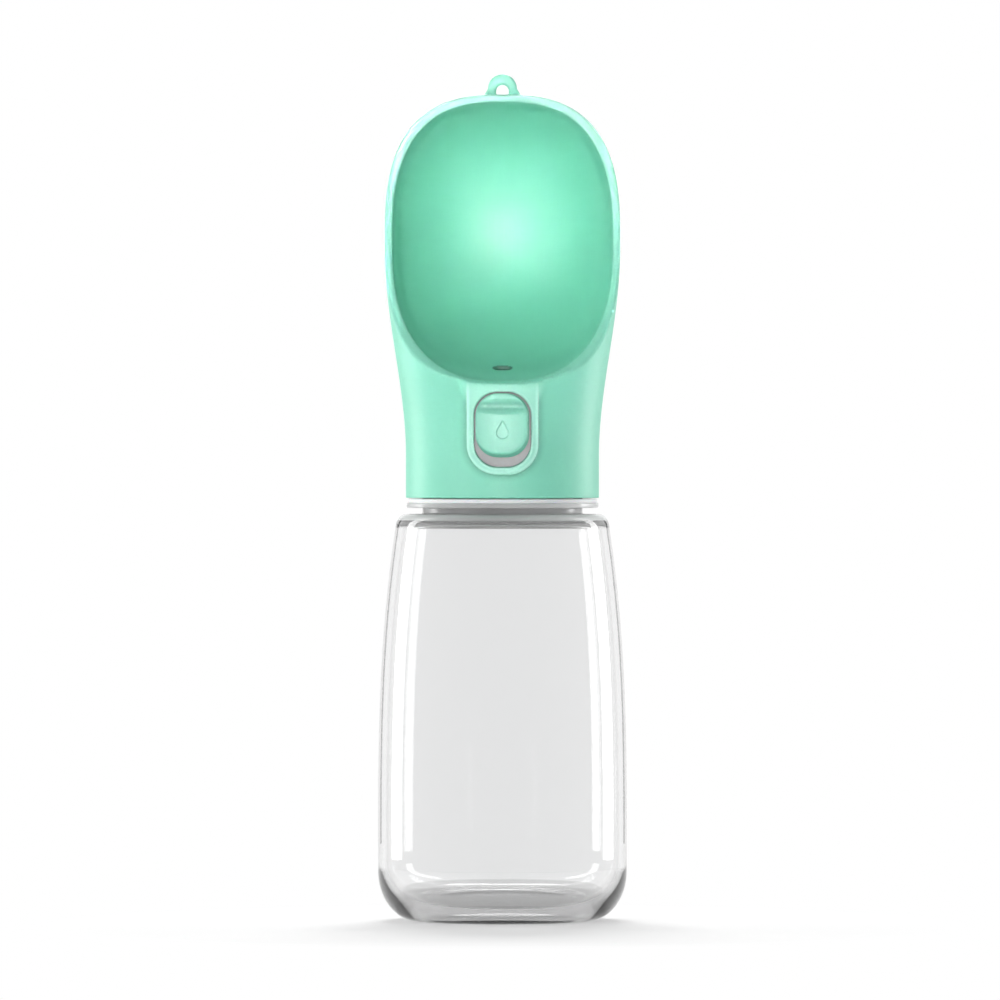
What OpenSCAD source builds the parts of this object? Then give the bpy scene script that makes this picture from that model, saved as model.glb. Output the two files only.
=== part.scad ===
// Travel water bottle for dogs: a clear screw-neck bottle under a one-piece
// head whose drinking bowl is filled by pressing a sliding lock button.
// Z is up, the bowl and the button face -Y, and the base stands on z = 0.

/* [Bottle] */
// Widest radius of the bottle body
bottle_r = 35.3; // [34:0.1:37]
// Height of the bottle shoulder above the base
bottle_h = 115.4; // [100:0.1:150]
// Wall thickness of the bottle
bottle_wall = 2.3; // [1.8:0.1:3]
// Radius of the body where the shoulder starts to turn in
shoulder_r = 30.4; // [29:0.1:32]
// Height of the rounded shoulder
shoulder_round = 4.2; // [3:0.1:6]
// Radius of the flat part of the base
base_flat_r = 24.5; // [22:0.1:27]
// Height of the rounded corner at the base
base_round = 14; // [10:0.5:18]
// Rise of the hollow under the base
punt_rise = 1.2; // [0.6:0.1:2]

/* [Neck] */
// Outside radius of the neck
neck_r = 22.7; // [22:0.1:23.4]
// Wall thickness of the neck
neck_wall = 2.3; // [1.8:0.1:2.6]
// Height of the neck above the flange
neck_above = 9.4; // [8.5:0.1:12]
// Radius of the flange ring
flange_r = 27.25; // [26:0.05:28]
// Thickness of the flange ring
flange_t = 1.4; // [1:0.1:2]
// Clear neck between the shoulder and the flange
flange_rise = 1.8; // [1.2:0.1:3]
// Rise of the screw thread in one turn
thread_lead = 4; // [3.5:0.1:5]
// Height of a thread ridge above its wall
thread_depth = 1.5; // [1.2:0.1:1.6]

/* [Head] */
// Outside radius of the collar
collar_r = 27.4; // [27:0.1:28.5]
// Height of the straight part of the collar
collar_straight = 12; // [10:0.5:14]
// Half width of the bowl at its widest
bowl_half_w = 33.35; // [32:0.05:35]
// Height of the bowl's widest level above the collar's lower edge
bowl_mid = 74; // [70:0.5:80]
// Height of the bowl's top above that widest level
bowl_rise = 40.2; // [36:0.1:46]
// How far the back of the bowl stands behind the bottle's axis
bowl_back = 31; // [29.5:0.1:34]
// Wall thickness of the bowl
bowl_wall = 2.2; // [1.8:0.1:3]
// Height of the bowl's lowest inner edge above the collar's lower edge
bowl_lip = 33; // [32.5:0.1:34]
// Width of the outlet slot in the bowl floor
outlet_w = 5; // [4.4:0.1:6]
// Depth of the outlet slot from front to back
outlet_d = 3.4; // [3:0.1:4]
// How far the outlet slot's cut starts below the rim's lower edge
outlet_below = 3; // [2.6:0.1:3.4]
// How far the outlet slot's cut ends above the rim's lower edge
outlet_above = 12; // [11:0.5:14]
// Height above the collar at which the head reaches its full width
wide_rise = 58; // [54:0.5:62]
// Outside radius of the hanging lug
lug_r = 4.1; // [3.8:0.1:5]
// Radius of the hole in the hanging lug
lug_hole_r = 1.8; // [1.6:0.05:2.2]
// Thickness of the hanging lug
lug_t = 3; // [2.4:0.1:4]

/* [Button] */
// Outside radius of the raised button frame, about the bottle's axis
frame_r = 30.2; // [29.8:0.1:30.8]
// Half width of the raised button frame
frame_half_w = 10.05; // [9.8:0.05:10.6]
// Half width of the opening in the button frame
window_half_w = 8.05; // [7.9:0.05:8.3]
// Height of the opening in the button frame
window_h = 21.3; // [20.9:0.1:21.6]
// Height of the opening's lower edge above the collar's lower edge
window_low = 8.7; // [8.4:0.1:8.9]
// Corner radius of the opening in the button frame
window_corner = 6.8; // [5:0.1:7.4]
// Distance of the thumb groove's axis below the button's top
groove_drop = 3.6; // [3.2:0.1:4]
// Gap between the button's face and the opening
button_gap = 0.45; // [0.3:0.05:0.6]
// How far the button slides down to lock
lock_travel = 2.3; // [1.8:0.1:2.4]
// How far the button is pressed in
press_travel = 2; // [1.6:0.1:2.1]
// Radius of the plunger behind the button
plunger_r = 3; // [2.6:0.1:3.2]

/* [Valve] */
// Thickness of the valve deck
deck_t = 3.2; // [3:0.1:3.6]
// Radius of the water port through the deck
port_r = 5.5; // [5:0.1:6]
// Radius of the silicone plug
plug_r = 7.5; // [7:0.1:8]
// Thickness of the silicone plug
plug_t = 3.2; // [2.6:0.1:3.4]
// Radius of the valve stem
stem_r = 2; // [1.8:0.05:2.2]
// Radius of the lever's pin
pin_r = 1; // [0.8:0.05:1.1]
// Shank radius of the valve screws
screw_r = 1.3; // [1.1:0.05:1.4]
// Coil radius of the valve spring
valve_coil_r = 4.2; // [4:0.1:4.6]
// Wire diameter of the valve spring
valve_wire = 0.8; // [0.6:0.05:1]

/* [Clearances] */
// Radial gap of a shaft that runs in a bore
run_gap = 0.06; // [0.03:0.01:0.1]
// Gap round a piece that is seated in its own recess
seat_gap = 0.1; // [0.05:0.01:0.15]
// Gap between a soft piece and what it seals
seal_gap = 0.3; // [0.2:0.05:0.4]
// Radial gap between a thread's ridge and the wall that it faces
thread_gap = 0.5; // [0.3:0.05:0.6]

/* [Hidden] */
$fn = 72;
eps = 0.01;
far = 60;

// Colours
mint = [0.58, 0.9, 0.8];
mint_light = [0.65, 0.94, 0.84];
clear = [0.86, 0.9, 0.92, 0.35];
frosted = [0.93, 0.91, 0.92, 0.8];
silicone = [0.9, 0.92, 0.93];
white = [0.95, 0.95, 0.93];
grey = [0.62, 0.62, 0.62];
steel = [0.75, 0.76, 0.78];

// Heights that follow from the bottle
flange_z = bottle_h + flange_rise;
neck_foot = flange_z + flange_t;
neck_top = neck_foot + neck_above;
collar_z = neck_foot + thread_lead * 0.35;
neck_bore = neck_r - neck_wall;
body_curve = 2.7;
body_low = 25;
floor_t = bottle_wall + 1.1;
punt_r = base_flat_r - 6.5;

// Threads
ridge_base = 2.1;
ridge_crest = 1.1;
neck_ridge_z = neck_foot + 2.4;
neck_ridges = 3;
collar_ridges = 2;
ridge_turn = 0.45;
collar_bore = neck_r + thread_depth + thread_gap;
collar_ridge_z = neck_ridge_z + thread_lead / 2;
thread_steps = 30;

// Valve deck and the seals round it
seal_t = 1.2;
seal_z = neck_top + seal_gap;
deck_z = seal_z + seal_t + seal_gap;
deck_top = deck_z + deck_t;
land_r = neck_r + 1.2;
deck_r = land_r - seat_gap;
ledge_r = land_r - 1.3;
ledge_z = deck_top;
ring_t = 1.5;
deck_mid = deck_z + deck_t / 2;

// Bowl and head outline
head_mid = collar_z + bowl_mid;
head_top = head_mid + bowl_rise;
straight_z = collar_z + collar_straight;
wide_z = straight_z + wide_rise;
lip_z = collar_z + bowl_lip;
inner_half_w = bowl_half_w - bowl_wall;
inner_mid = head_mid - 2;
inner_top = head_top - bowl_wall;
bowl_deep = bowl_back - bowl_wall - 0.2;
top_curve = 2.7;
floor_curve = 2.45;
side_curve = 2.2;
floor_bend = 0.6;
rim_top_y = -9;
crown_y = -5;

// Side view of the rim, from its lip over the button to its top
rim_from = [-frame_r + 0.4, lip_z - 0.7];
rim_to = [rim_top_y, head_top];
rim_pull_low = [-14, lip_z + 5];
rim_pull_high = [2, lip_z + 32];
rim_steps = 24;
rim_land = 0.4;

// Water room under the bowl floor, with a ceiling that rises to the back
room_z = lip_z - 2.1;
room_slope = atan(0.33);
pillar_top = lip_z + 12;
outlet_y = rim_from[0] + 20.5;

// Button and plunger
window_z = collar_z + window_low;
window_top = window_z + window_h;
frame_low = window_z - 2;
button_half_w = window_half_w - button_gap;
button_top = window_top - button_gap;
button_low = window_z + lock_travel + 0.4;
button_corner = window_corner - button_gap;
lip_back = -frame_r + 2.9;
plate_front = -frame_r + 1.5;
plate_back = lip_back + seat_gap;
shoe_back = plate_back + 0.8;
pocket_back = shoe_back + press_travel + 0.2;
plate_gap = 0.2;
face_y = -frame_r - 1.3;
pocket_half_w = window_half_w + 0.9;
pocket_low = deck_top + 0.2;
pocket_top = window_top + 1.3;
window_back = plate_back + press_travel + seat_gap;
plunger_z = window_z + 13.7;
land_y = pocket_back + 2.8;
gasket_t = 0.5;
guide_front = land_y + gasket_t;
guide_t = 2.6;
guide_back = guide_front + guide_t;
guide_half_w = 10.3;
guide_half_h = 7.2;
gland_r = plunger_r + 1.3;
gland_t = 1.3;
gland_y = guide_front + guide_t / 2;
nose_r = 2.2;
nose_y = gland_y + 0.8;
plunger_tip = nose_y + nose_r;
button_coil_r = plunger_r + 1;
button_wire = 0.6;
coil_room_r = button_coil_r + button_wire / 2 + 0.8;
guide_screw_x = 7.6;
guide_screw_r = 1;
post_x = 5.9;
post_z = window_z + 10.3;
post_r = 1.1;
post_head_r = 1.6;
post_head_t = 0.6;

// Valve axis, lever and cage
port_y = -4;
lever_arm = 9;
pivot_y = port_y - lever_arm;
pivot_z = deck_top + 3.4;
hub_r = pin_r + 1.5;
ear_x = 3.1;
ear_t = 2;
lever_half_w = ear_x - seal_gap;
nub_r = 1.3;
stem_top = pivot_z - nub_r - 0.2;
plug_top = deck_z - seal_gap;
plug_z = plug_top - plug_t;
clip_t = 0.9;
clip_z = plug_z - clip_t;
shoulder_t = 0.9;
bridge_z = deck_z + 1;
bridge_t = 1;
cage_r = plug_r + 1.9;
cage_wall = 1.6;
cage_low = plug_z - 11.4;
cage_foot_t = 1.5;
cage_flange_t = 1.4;
cage_flange_r = plug_r + 6.7;
cage_hub_r = stem_r + 2.2;
stem_low = cage_low - 1.6;
screw_ring = plug_r + 4;
screw_head_r = 2.3;
screw_head_t = 1.4;
screw_len = 12.5;
post_pillar_r = 3;

// A smooth step from 0 to 1 as t goes from 0 to 1
function ease(t) =
  let (u = min(1, max(0, t)))
  u * u * (3 - 2 * u);

// Height of a superellipse quarter whose half width and height are 1
function arch(t, n) = pow(max(0, 1 - pow(min(1, abs(t)), n)), 1 / n);

// A power of a cosine or sine that keeps its sign
function signed_pow(v, p) = sign(v) * pow(abs(v), p);

function bezier(a, b, c, d, t) =
  a * pow(1 - t, 3) + 3 * b * t * pow(1 - t, 2) + 3 * c * t * t * (1 - t) + d * pow(t, 3);

rim_curve = [
  for (i = [0:rim_steps])
    bezier(rim_from, rim_pull_low, rim_pull_high, rim_to, i / rim_steps)
];
rim_by_height = [for (p = rim_curve) [p[1], p[0]]];

// Faces that close a stack of equal rings, which turn clockwise seen from the far end
function stack_faces(rings, sides) = concat(
  [[for (i = [sides - 1:-1:0]) i]],
  [
    for (r = [0:rings - 2], i = [0:sides - 1], half = [0, 1])
      let (a = r * sides + i, b = r * sides + (i + 1) % sides)
      half == 0 ? [a, b, a + sides] : [b, b + sides, a + sides]
  ],
  [[for (i = [0:sides - 1]) (rings - 1) * sides + i]]
);

module ring_stack(rings) {
  sides = len(rings[0]);
  polyhedron(
    points = [for (ring = rings, p = ring) p],
    faces = stack_faces(len(rings), sides)
  );
}

// A screw thread in half turns with a vent slot after each one
module thread(wall_r, depth, z, ridges) {
  for (k = [0:ridges - 1])
    rotate([0, 0, 180 * k])
      thread_ridge(wall_r, depth, z + thread_lead * k / 2);
}

// One ridge of a screw thread, sunk a little into the wall that carries it
module thread_ridge(wall_r, depth, z) {
  sink = depth > 0 ? -1 : 1;
  steps = round(ridge_turn * thread_steps);
  ring_stack([
    for (i = [0:steps])
      let (
        a = 6 + 360 * i / thread_steps,
        h = z + thread_lead * i / thread_steps,
        lift = depth * min(1, min(i, steps - i) / 3 + 0.15),
        corners = [
          [wall_r + sink, h - ridge_base / 2],
          [wall_r + lift, h - ridge_crest / 2],
          [wall_r + lift, h + ridge_crest / 2],
          [wall_r + sink, h + ridge_base / 2]
        ],
        turned = depth > 0 ? corners : [for (k = [3:-1:0]) corners[k]]
      )
      [for (c = turned) [c[0] * cos(a), c[0] * sin(a), c[1]]]
  ]);
}

// A coil spring with its axis on Z from z = 0 to its length
module coil(r, wire, length, turns) {
  sides = 6;
  around = 20;
  steps = turns * around;
  ring_stack([
    for (i = [0:steps])
      let (
        a = 360 * i / around,
        h = wire / 2 + (length - wire) * (i / steps)
      )
      [
        for (k = [0:sides - 1])
          let (w = wire / 2 * 0.98, out = r + w * cos(k * 360 / sides))
          [out * cos(a), out * sin(a), h + w * sin(k * 360 / sides)]
      ]
  ]);
}

// A block with rounded corners in X and Z that runs from y0 to y1
module tablet(half_w, z0, z1, corner, y0, y1) {
  for (x = [-1, 1], z = [z0 + corner, z1 - corner])
    translate([x * (half_w - corner), y0, z])
      rotate([-90, 0, 0])
        cylinder(r = corner, h = y1 - y0);
  translate([-half_w, y0, z0 + corner])
    cube([2 * half_w, y1 - y0, z1 - z0 - 2 * corner]);
  translate([-half_w + corner, y0, z0])
    cube([2 * (half_w - corner), y1 - y0, z1 - z0]);
}

// A rod along Y
module rod_y(r, x, z, y0, y1) {
  translate([x, y0, z])
    rotate([-90, 0, 0])
      cylinder(r = r, h = y1 - y0);
}

// A rod along X, centred on x = 0
module rod_x(r, y, z, half_len) {
  translate([-half_len, y, z])
    rotate([0, 90, 0])
      cylinder(r = r, h = 2 * half_len);
}

// A rod along Z
module rod_z(r, x, y, z0, z1) {
  translate([x, y, z0])
    cylinder(r = r, h = z1 - z0);
}

module place_screws() {
  for (a = [90, 210, 330])
    translate([screw_ring * cos(a), port_y + screw_ring * sin(a), 0])
      children();
}

function body_r(z) =
  bottle_r - (bottle_r - shoulder_r) * pow(max(0, (z - body_low) / (shoulder_z - body_low)), body_curve);
shoulder_z = bottle_h - shoulder_round;
shoulder_in = 3;

// The bottle's side from its base to its shoulder, moved in by a wall
function bottle_side(wall, low, high) = concat(
  [
    for (a = [0:10:90])
      [
        base_flat_r - wall * 0.9 + (bottle_r - base_flat_r - wall * 0.1) * sin(a),
        low + (base_round - low * 0.5) * (1 - cos(a))
      ]
  ],
  [for (i = [1:12]) let (z = body_low + (shoulder_z - body_low) * i / 12) [body_r(z) - wall, z]],
  [
    for (a = [10:10:90])
      [shoulder_r - shoulder_in - wall + shoulder_in * cos(a), shoulder_z + (high - shoulder_z) * sin(a)]
  ]
);

module bottle() {
  inner_low = floor_t;
  color(clear)
    union() {
      rotate_extrude()
        polygon(concat(
          [[0, punt_rise], [punt_r * 0.6, punt_rise * 0.8], [punt_r, 0]],
          bottle_side(0, 0, bottle_h),
          [
            [neck_r, bottle_h],
            [neck_r, flange_z],
            [flange_r, flange_z],
            [flange_r, neck_foot],
            [neck_r, neck_foot],
            [neck_r, neck_top],
            [neck_bore, neck_top],
            [neck_bore, bottle_h - bottle_wall]
          ],
          [
            let (side = bottle_side(bottle_wall, inner_low, bottle_h - bottle_wall))
            for (i = [len(side) - 1:-1:0]) side[i]
          ],
          [[punt_r * 0.6, inner_low + punt_rise * 0.5], [0, inner_low + punt_rise]]
        ));
      thread(neck_r, thread_depth, neck_ridge_z, neck_ridges);
    }
}

module flange_gasket() {
  color(frosted)
    translate([0, 0, neck_foot])
      difference() {
        cylinder(r = flange_r - 0.45, h = collar_z - neck_foot - seal_gap);
        translate([0, 0, -1])
          cylinder(r = neck_r + seat_gap, h = thread_lead);
      }
}

module neck_seal() {
  color(silicone)
    translate([0, 0, seal_z])
      difference() {
        cylinder(r = land_r - seal_gap - seat_gap, h = seal_t);
        translate([0, 0, -1])
          cylinder(r = neck_bore + 0.2, h = seal_t + 2);
      }
}

// Half width of the head at a height
function head_w(z) = z > head_mid
  ? bowl_half_w * arch((z - head_mid) / bowl_rise, top_curve)
  : collar_r + (bowl_half_w - collar_r) * ease((z - straight_z) / (wide_z - straight_z));

// Where the widest line of a level lies from front to back
function head_y(z) = crown_y * ease((z - straight_z) / (wide_z - straight_z));

// How far back a level reaches
function head_back(z) = z > head_mid
  ? rim_top_y + 1 + (bowl_back - rim_top_y - 1) * arch((z - head_mid) / bowl_rise, 2.3)
  : collar_r + (bowl_back - collar_r) * ease((z - straight_z) / (wide_z - straight_z));

head_sides = 48;
head_levels = concat(
  [collar_z],
  [for (i = [0:13]) straight_z + (head_mid - straight_z) * i / 14],
  [for (i = [0:15]) head_mid + bowl_rise * pow(sin(89 * i / 15), 2 / top_curve)]
);

module head_outside() {
  ring_stack([
    for (z = head_levels)
      let (
        w = head_w(z),
        y = head_y(z),
        back = head_back(z) - y,
        front = z > head_mid ? w * 0.9 : w + y,
        round = 2 / (2 + 0.2 * ease((z - straight_z) / (wide_z - straight_z)))
      )
      [
        for (i = [0:head_sides - 1])
          let (
            a = -360 * i / head_sides,
            s = signed_pow(sin(a), round)
          )
          [w * signed_pow(cos(a), round), y + s * (s > 0 ? back : front), z]
      ]
  ]);
}

// A point on the bowl's inner edge in front view, at an angle
function bowl_edge(a) =
  let (n = sin(a) > 0 ? top_curve : floor_curve, h = sin(a) > 0 ? inner_top - inner_mid : inner_mid - lip_z)
  [inner_half_w * signed_pow(cos(a), 2 / n), inner_mid + h * signed_pow(sin(a), 2 / n)];

bowl_sides = 48;
bowl_rings = 10;
deep_z = inner_mid + 3;

module bowl_hollow() {
  edge = [for (i = [0:bowl_sides - 1]) bowl_edge(360 * i / bowl_sides)];
  ring_stack(concat(
    [[for (p = edge) [p[0], -far, p[1]]]],
    [
      for (k = [0:bowl_rings])
        [
          for (i = [0:bowl_sides - 1])
            let (
              p = edge[i],
              v = 89 * k / bowl_rings,
              down = max(0, -sin(360 * i / bowl_sides)),
              y0 = lookup(p[1], rim_by_height) + rim_land,
              s = pow(cos(v), 2 / side_curve),
              curve = side_curve - floor_bend * pow(down * s, 2),
              t = pow(1 - pow(s, curve), 1 / curve)
            )
            [p[0] * s, y0 + (bowl_deep - y0) * t, deep_z + (p[1] - deep_z) * s]
        ]
    ]
  ));
}

// What lies in front of the rim
module rim_trim() {
  translate([-far, 0, 0])
    rotate([90, 0, 90])
      linear_extrude(height = 2 * far)
        polygon(concat(rim_curve, [[rim_top_y, head_top + far], [-far, head_top + far], [-far, rim_from[1]]]));
}

module button_frame() {
  intersection() {
    translate([0, 0, frame_low])
      cylinder(r = frame_r, h = lip_z - frame_low + 4);
    tablet(frame_half_w, frame_low, lip_z + 16, window_corner + 1.7, -far, -collar_r + 6);
  }
}

// Water space between the deck and the bowl floor, under a sloping ceiling
module valve_room() {
  intersection() {
    translate([0, 0, ledge_z - eps])
      cylinder(r = ledge_r, h = far);
    translate([0, -ledge_r, room_z])
      rotate([room_slope, 0, 0])
        translate([-far, -far, -2 * far])
          cube([2 * far, 3 * far, 2 * far]);
  }
}

module lug() {
  lug_z = head_top + 5.8 - lug_r;
  y0 = crown_y - lug_t / 2;
  difference() {
    union() {
      rod_y(lug_r, 0, lug_z, y0, y0 + lug_t);
      translate([0, y0 + lug_t, 0])
        rotate([90, 0, 0])
          linear_extrude(height = lug_t)
            polygon([
              [-lug_r - 1, head_top - 2.4],
              [lug_r + 1, head_top - 2.4],
              [lug_r + 1, head_top],
              [lug_r * 0.99, lug_z],
              [-lug_r * 0.99, lug_z],
              [-lug_r - 1, head_top]
            ]);
    }
    rod_y(lug_hole_r, 0, lug_z - 0.7, -far, far);
    translate([-lug_hole_r, -far, head_top + 0.1])
      cube([2 * lug_hole_r, 2 * far, lug_z - 0.7 - head_top]);
  }
}

module head_shell() {
  color(mint)
    resize([2 * bowl_half_w, 0, 0])
      head_body($fn = 48);
}

module head_body() {
  difference() {
    union() {
      difference() {
        union() {
          head_outside();
          button_frame();
        }
        translate([0, 0, collar_z - 1])
          cylinder(r = collar_bore, h = neck_top - collar_z + 0.8);
        translate([0, 0, collar_z])
          cylinder(r = land_r, h = ledge_z - collar_z);
        valve_room();
      }
      thread(collar_bore, -thread_depth + seat_gap, collar_ridge_z, collar_ridges);
      place_screws()
        rod_z(post_pillar_r, 0, 0, ledge_z, pillar_top);
      lug();
    }
    rim_trim();
    bowl_hollow();
    tablet(window_half_w, window_z, window_top, window_corner, -far, window_back);
    translate([-pocket_half_w, lip_back, pocket_low])
      cube([2 * pocket_half_w, pocket_back - lip_back, pocket_top - pocket_low]);
    rod_y(coil_room_r, 0, plunger_z, pocket_back - 1, land_y + 1);
    translate([-guide_half_w - seat_gap, land_y, plunger_z - guide_half_h - seat_gap])
      cube([2 * (guide_half_w + seat_gap), 6, 2 * (guide_half_h + seat_gap)]);
    for (x = [-guide_screw_x, guide_screw_x])
      rod_y(guide_screw_r + eps, x, plunger_z, pocket_back + 0.3, land_y + 1);
    place_screws()
      rod_z(screw_r + eps, 0, 0, ledge_z - 1, ledge_z + 9.5);
    outlet_slot();
  }
}

// The outlet slot through the bowl floor
module outlet_slot() {
  r = outlet_d / 2;
  reach = outlet_w / 2 - r;
  outlet_low = lip_z - outlet_below;
  outlet_high = lip_z + outlet_above;
  for (x = [-reach, reach])
    rod_z(r, x, outlet_y, outlet_low, outlet_high);
  translate([-reach, outlet_y - r, outlet_low])
    cube([2 * reach, 2 * r, outlet_high - outlet_low]);
}

module valve_deck() {
  color(white)
    difference() {
      union() {
        rod_z(deck_r, 0, 0, deck_z, deck_top);
        for (x = [-ear_x - ear_t, ear_x]) {
          translate([x, pivot_y - hub_r, deck_top - eps])
            cube([ear_t, 2 * hub_r, pivot_z - deck_top]);
          translate([x, pivot_y, pivot_z])
            rotate([0, 90, 0])
              cylinder(r = hub_r, h = ear_t);
        }
      }
      difference() {
        rod_z(port_r, 0, port_y, deck_z - 1, deck_top + 1);
        rod_z(cage_hub_r - 1, 0, port_y, bridge_z, bridge_z + bridge_t);
        for (a = [30, 150, 270])
          translate([0, port_y, bridge_z])
            rotate([0, 0, a])
              translate([0, -0.8, 0])
                cube([port_r + 1, 1.6, bridge_t]);
      }
      rod_z(stem_r + run_gap, 0, port_y, deck_z - 1, deck_top + 1);
      rod_x(pin_r + eps, pivot_y, pivot_z, ear_x + ear_t + 1);
      place_screws()
        rod_z(screw_r + 0.15, 0, 0, deck_z - 1, deck_top + 1);
      difference() {
        rod_z(deck_r + 1, 0, 0, deck_mid - ring_t / 2 - 0.1, deck_mid + ring_t / 2 + 0.1);
        rod_z(deck_r - ring_t - seat_gap / 2, 0, 0, deck_z, deck_top);
      }
    }
}

module deck_seal() {
  color(silicone)
    translate([0, 0, deck_mid])
      rotate_extrude()
        translate([deck_r - ring_t / 2, 0])
          circle(r = ring_t / 2);
}

module valve_cage() {
  color(white)
    difference() {
      union() {
        translate([0, port_y, deck_z - cage_flange_t])
          difference() {
            cylinder(r = cage_flange_r, h = cage_flange_t);
            translate([0, 0, -1])
              cylinder(r = cage_r, h = cage_flange_t + 2);
          }
        for (a = [30, 150, 270])
          translate([0, port_y, cage_low])
            rotate([0, 0, a]) {
              translate([cage_r, -1.6, 0])
                cube([cage_wall, 3.2, deck_z - cage_low - eps]);
              translate([0, -1.2, 0])
                cube([cage_r + eps, 2.4, cage_foot_t]);
            }
        rod_z(valve_coil_r + 1, 0, port_y, cage_low, cage_low + cage_foot_t);
      }
      rod_z(stem_r + run_gap, 0, port_y, cage_low - 1, deck_z);
      place_screws()
        rod_z(screw_r + 0.15, 0, 0, cage_low, deck_z + 1);
    }
}

module valve_screws() {
  head_z = deck_z - cage_flange_t;
  color(steel)
    place_screws()
      difference() {
        union() {
          rod_z(screw_r, 0, 0, head_z - eps, head_z + screw_len);
          rod_z(screw_head_r, 0, 0, head_z - screw_head_t, head_z);
        }
        for (a = [0, 90])
          rotate([0, 0, a])
            translate([-screw_head_r * 0.7, -0.3, head_z - screw_head_t - eps])
              cube([screw_head_r * 1.4, 0.6, 0.8]);
      }
}

module valve_plug() {
  color(silicone)
    translate([0, port_y, plug_z])
      difference() {
        union() {
          cylinder(r = plug_r - 0.6, h = plug_t);
          translate([0, 0, 0.6])
            cylinder(r = plug_r, h = plug_t - 0.6);
        }
        translate([0, 0, -1])
          cylinder(r = stem_r + eps, h = plug_t + 2);
      }
}

module valve_stem() {
  color(white)
    difference() {
      union() {
        rod_z(stem_r, 0, port_y, stem_low, stem_top);
        rod_z(stem_r + 1.1, 0, port_y, plug_top, plug_top + shoulder_t);
      }
      difference() {
        rod_z(stem_r + 1, 0, port_y, clip_z, clip_z + clip_t);
        rod_z(stem_r - 0.3, 0, port_y, clip_z, clip_z + clip_t);
      }
    }
}

module stem_clip() {
  color(steel)
    translate([0, port_y, clip_z + 0.05])
      difference() {
        cylinder(r = valve_coil_r + 0.8, h = clip_t - 0.1);
        translate([0, 0, -1])
          cylinder(r = stem_r - 0.3 + eps, h = clip_t + 2);
        translate([-stem_r * 0.55, -far, -1])
          cube([stem_r * 1.1, far, clip_t + 2]);
      }
}

module valve_spring() {
  low = cage_low + cage_foot_t + 0.05;
  color(steel)
    translate([0, port_y, low])
      coil(valve_coil_r, valve_wire, clip_z - low, 5);
}

module lever() {
  pad_y = plunger_tip + seal_gap;
  color(white)
    difference() {
      union() {
        rod_x(hub_r, pivot_y, pivot_z, lever_half_w);
        translate([-lever_half_w + 0.4, pad_y, pivot_z])
          cube([2 * lever_half_w - 0.8, 2.5, plunger_z + nose_r - pivot_z]);
        translate([-lever_half_w + 0.6, pivot_y, pivot_z - 1.1])
          cube([2 * lever_half_w - 1.2, lever_arm + 1, 2.2]);
        translate([0, port_y, pivot_z])
          rod_x(nub_r, 0, 0, lever_half_w - 0.6);
        translate([-lever_half_w + 0.4, pad_y, pivot_z])
          cube([2 * lever_half_w - 0.8, pivot_y - pad_y + 1, 2]);
      }
      rod_x(pin_r + run_gap, pivot_y, pivot_z, lever_half_w + 1);
    }
}

module lever_pin() {
  color(steel)
    rod_x(pin_r, pivot_y, pivot_z, ear_x + ear_t + 0.2);
}

module plunger_guide() {
  color(white)
    difference() {
      translate([-guide_half_w, guide_front, plunger_z - guide_half_h])
        cube([2 * guide_half_w, guide_t, 2 * guide_half_h]);
      rod_y(plunger_r + run_gap, 0, plunger_z, guide_front - 1, guide_back + 1);
      rod_y(gland_r + 0.02, 0, plunger_z, gland_y - gland_t / 2, gland_y + gland_t / 2);
      for (x = [-guide_screw_x, guide_screw_x])
        rod_y(guide_screw_r + 0.1, x, plunger_z, guide_front - 1, guide_back + 1);
    }
}

module plunger_seal() {
  section = (gland_r - plunger_r - seal_gap) / 2;
  color(silicone)
    translate([0, gland_y, plunger_z])
      rotate([90, 0, 0])
        rotate_extrude()
          translate([gland_r - section, 0])
            circle(r = section);
}

module guide_gasket() {
  color(silicone)
    difference() {
      translate([-guide_half_w, land_y, plunger_z - guide_half_h])
        cube([2 * guide_half_w, gasket_t, 2 * guide_half_h]);
      rod_y(coil_room_r - 0.2, 0, plunger_z, land_y - 1, land_y + 2);
      for (x = [-guide_screw_x, guide_screw_x])
        rod_y(guide_screw_r + 0.1, x, plunger_z, land_y - 1, land_y + 2);
    }
}

module guide_screws() {
  color(steel)
    for (x = [-guide_screw_x, guide_screw_x])
      difference() {
        union() {
          rod_y(guide_screw_r, x, plunger_z, pocket_back + 0.4, guide_back + eps);
          rod_y(guide_screw_r + 0.8, x, plunger_z, guide_back, guide_back + 1.1);
        }
        for (a = [0, 90])
          translate([x, guide_back + 1.1 + eps, plunger_z])
            rotate([0, a, 0])
              translate([-1.2, -0.6, -0.25])
                cube([2.4, 0.6, 0.5]);
      }
}

module button_carriage() {
  edge = 0.2;
  shoe_half_w = pocket_half_w - 0.25;
  slot_low = post_z - lock_travel;
  color(grey)
    difference() {
      union() {
        tablet(window_half_w - edge, window_z + edge, window_top - edge, window_corner - edge,
          plate_front, plate_back);
        translate([-shoe_half_w, plate_back - eps, pocket_low + 0.3])
          cube([2 * shoe_half_w, shoe_back - plate_back + eps, pocket_top - pocket_low - 0.6]);
        rod_y(plunger_r, 0, plunger_z, shoe_back - eps, nose_y);
        translate([0, nose_y, plunger_z])
          sphere(r = nose_r);
      }
      for (x = [-post_x, post_x]) {
        translate([x - post_r - 0.1, plate_front - 1, slot_low - post_r - 0.1])
          cube([2 * post_r + 0.2, 4, lock_travel + 2 * post_r + 0.2]);
        translate([x - post_head_r - 0.1, plate_front + 1.2, slot_low - post_head_r - 0.1])
          cube([2 * post_head_r + 0.2, 4, lock_travel + 2 * post_head_r + 0.2]);
      }
    }
}

module button_spring() {
  front = shoe_back + 0.05;
  color(steel)
    translate([0, guide_front - 0.05, plunger_z])
      rotate([90, 0, 0])
        coil(button_coil_r, button_wire, guide_front - 0.05 - front, 3);
}

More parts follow.
